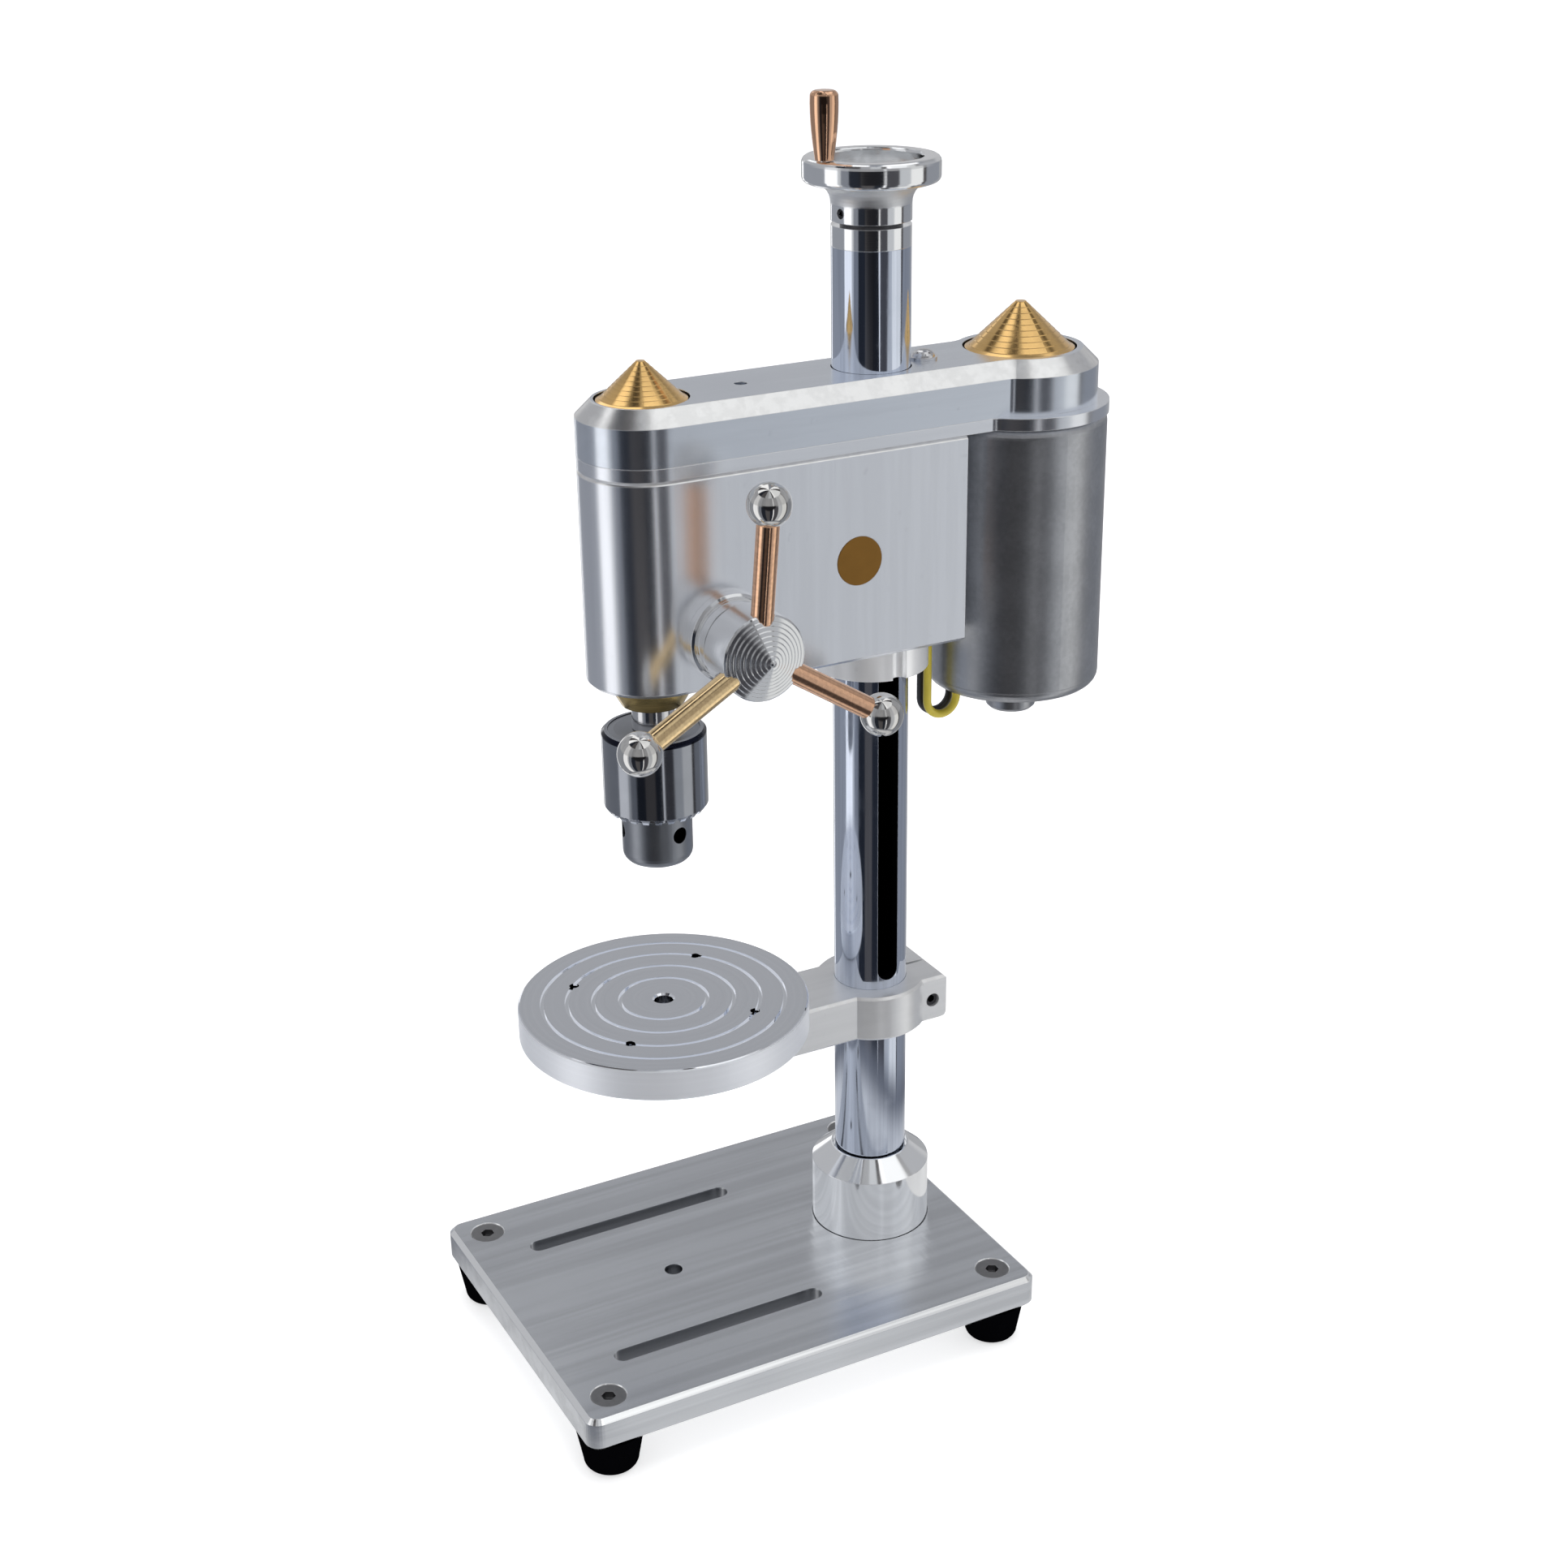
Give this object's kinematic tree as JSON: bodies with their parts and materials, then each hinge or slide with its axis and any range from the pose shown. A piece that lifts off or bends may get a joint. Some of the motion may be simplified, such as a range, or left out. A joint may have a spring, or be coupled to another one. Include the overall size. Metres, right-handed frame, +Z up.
{
  "type": "mini drill press",
  "caption": "Small bench drill press: slotted base, round column, handwheel-lifted belt head, rack-fed quill, keyed chuck and clamped round table.",
  "frame": {"origin": "middle of the whole machine's plan, on the floor under the feet", "axes": "+Z up, -Y from the motor towards the chuck, +X towards the feed handle's side"},
  "size_m": [0.13, 0.2247, 0.4232],
  "materials": {
    "milled_plate": "milled with fine tool marks, satin",
    "satin_aluminium": "satin",
    "polished_aluminium": "turned and polished",
    "polished_steel": "turned and polished",
    "column_chrome": "ground and chromed",
    "ball_chrome": "mirror",
    "plain_steel": "ground",
    "gunmetal": "dark, knurled",
    "dark_screw": "black oxide",
    "dark_iron": "plain",
    "motor_dark": "satin, lightly mottled",
    "turned_brass": "turned rings",
    "rose_metal": "rose plated, satin",
    "bronze_disc": "plain satin disc",
    "black_rubber": "matt",
    "yellow_sheath": "soft gloss",
    "black_sheath": "soft gloss"
  },
  "bodies": {
    "stand": {"base_plate": "milled_plate", "rubber_feet": "black_rubber", "foot_screws": "dark_screw", "column_collar": "polished_steel", "collar_bolts": "dark_screw", "column_tube": "column_chrome", "top_ring": "polished_steel", "thrust_washer": "dark_screw"},
    "lift_wheel": {"handwheel": "polished_steel", "wheel_grub_screw": "dark_screw", "lead_screw": "plain_steel", "crank_pin": "plain_steel"},
    "crank_grip": {"crank_grip": "rose_metal"},
    "head": {"head_block": "satin_aluminium", "lift_nut": "turned_brass", "lower_ring": "satin_aluminium", "ring_screws": "dark_screw", "side_disc": "bronze_disc", "belt_plate": "polished_aluminium", "belt_cover": "satin_aluminium", "cover_screws": "dark_screw", "drive_belt": "black_rubber", "pulley_bearings": "plain_steel", "motor_can": "motor_dark", "motor_end_cap": "motor_dark", "motor_screws": "dark_screw", "field_magnets": "dark_iron", "carbon_brushes": "dark_iron", "motor_bearings": "plain_steel", "yellow_wire": "yellow_sheath", "black_wire": "black_sheath", "feed_flange": "polished_aluminium", "far_bush": "turned_brass", "spring_cap": "polished_aluminium", "return_spring": "plain_steel"},
    "rotor": {"motor_rotor": "plain_steel", "motor_pulley": "polished_aluminium", "rear_cone": "turned_brass"},
    "spindle_drive": {"spindle_pulley": "polished_aluminium", "front_cone": "turned_brass"},
    "quill": {"quill": "plain_steel", "quill_bearings": "plain_steel", "quill_nose": "turned_brass"},
    "spindle": {"spindle": "plain_steel", "chuck_body": "gunmetal"},
    "chuck_sleeve": {"chuck_sleeve": "gunmetal", "jaw_nut": "gunmetal"},
    "jaw_one": {"jaw_one": "plain_steel"},
    "jaw_two": {"jaw_two": "plain_steel"},
    "jaw_three": {"jaw_three": "plain_steel"},
    "feed_handle": {"pinion_shaft": "plain_steel", "feed_hub": "polished_aluminium", "handle_rods": "rose_metal", "handle_balls": "ball_chrome"},
    "table": {"table_arm": "satin_aluminium", "round_table": "polished_steel", "table_screws": "dark_screw", "clamp_screw": "dark_screw"}
  },
  "joints": [
    {"name": "wheel_turn", "type": "hinge", "parent": "stand", "child": "lift_wheel", "pos_m": [0, 0.02735, 0.4026], "axis": [0, 0, -1], "range_deg": [-8101, 6301]},
    {"name": "crank_grip_spin", "type": "hinge", "parent": "lift_wheel", "child": "crank_grip", "pos_m": [0.00373, 0.00903, 0.4126], "axis": [0, 0, 1], "continuous": true},
    {"name": "head_lift", "type": "slide", "parent": "stand", "child": "head", "axis": [0, 0, 1], "range_m": [-0.045, 0.035]},
    {"name": "rotor_spin", "type": "hinge", "parent": "head", "child": "rotor", "pos_m": [0, 0.08275, 0.3169], "axis": [0, 0, 1], "continuous": true},
    {"name": "pulley_spin", "type": "hinge", "parent": "head", "child": "spindle_drive", "pos_m": [0, -0.05195, 0.3169], "axis": [0, 0, 1], "continuous": true},
    {"name": "quill_feed", "type": "slide", "parent": "head", "child": "quill", "axis": [0, 0, -1], "range_m": [0, 0.028]},
    {"name": "spindle_spin", "type": "hinge", "parent": "quill", "child": "spindle", "pos_m": [0, -0.05195, 0.2314], "axis": [0, 0, 1], "continuous": true},
    {"name": "sleeve_turn", "type": "hinge", "parent": "spindle", "child": "chuck_sleeve", "pos_m": [0, -0.05195, 0.216], "axis": [0, 0, 1], "range_deg": [-1372.6, 1372.6]},
    {"name": "jaw_one_slide", "type": "slide", "parent": "spindle", "child": "jaw_one", "axis": [0.0593, 0.2345, 0.9703], "range_m": [-0.00762, 0.00762]},
    {"name": "jaw_two_slide", "type": "slide", "parent": "spindle", "child": "jaw_two", "axis": [-0.2328, -0.0659, 0.9703], "range_m": [-0.00762, 0.00762]},
    {"name": "jaw_three_slide", "type": "slide", "parent": "spindle", "child": "jaw_three", "axis": [0.1734, -0.1687, 0.9703], "range_m": [-0.00762, 0.00762]},
    {"name": "feed_turn", "type": "hinge", "parent": "head", "child": "feed_handle", "pos_m": [0.0205, -0.03485, 0.26545], "axis": [1, 0, 0], "range_deg": [0, 267.3], "stiffness_Nm_per_rad": 0.02, "springref_deg": -148.97, "deforming": ["return_spring"]},
    {"name": "table_slide", "type": "slide", "parent": "stand", "child": "table", "axis": [0, 0, 1], "range_m": [-0.05, 0.04]}
  ],
  "couplings": [
    {"joint": "wheel_turn", "follows": "head_lift", "rad_per_m": 3141.6},
    {"joint": "pulley_spin", "follows": "rotor_spin", "ratio": 1},
    {"joint": "spindle_spin", "follows": "rotor_spin", "ratio": 1},
    {"joint": "quill_feed", "follows": "feed_turn", "m_per_rad": 0.006},
    {"joint": "sleeve_turn", "follows": "jaw_one_slide", "rad_per_m": 3141.6},
    {"joint": "jaw_two_slide", "follows": "jaw_one_slide", "ratio": 1},
    {"joint": "jaw_three_slide", "follows": "jaw_one_slide", "ratio": 1}
  ]
}
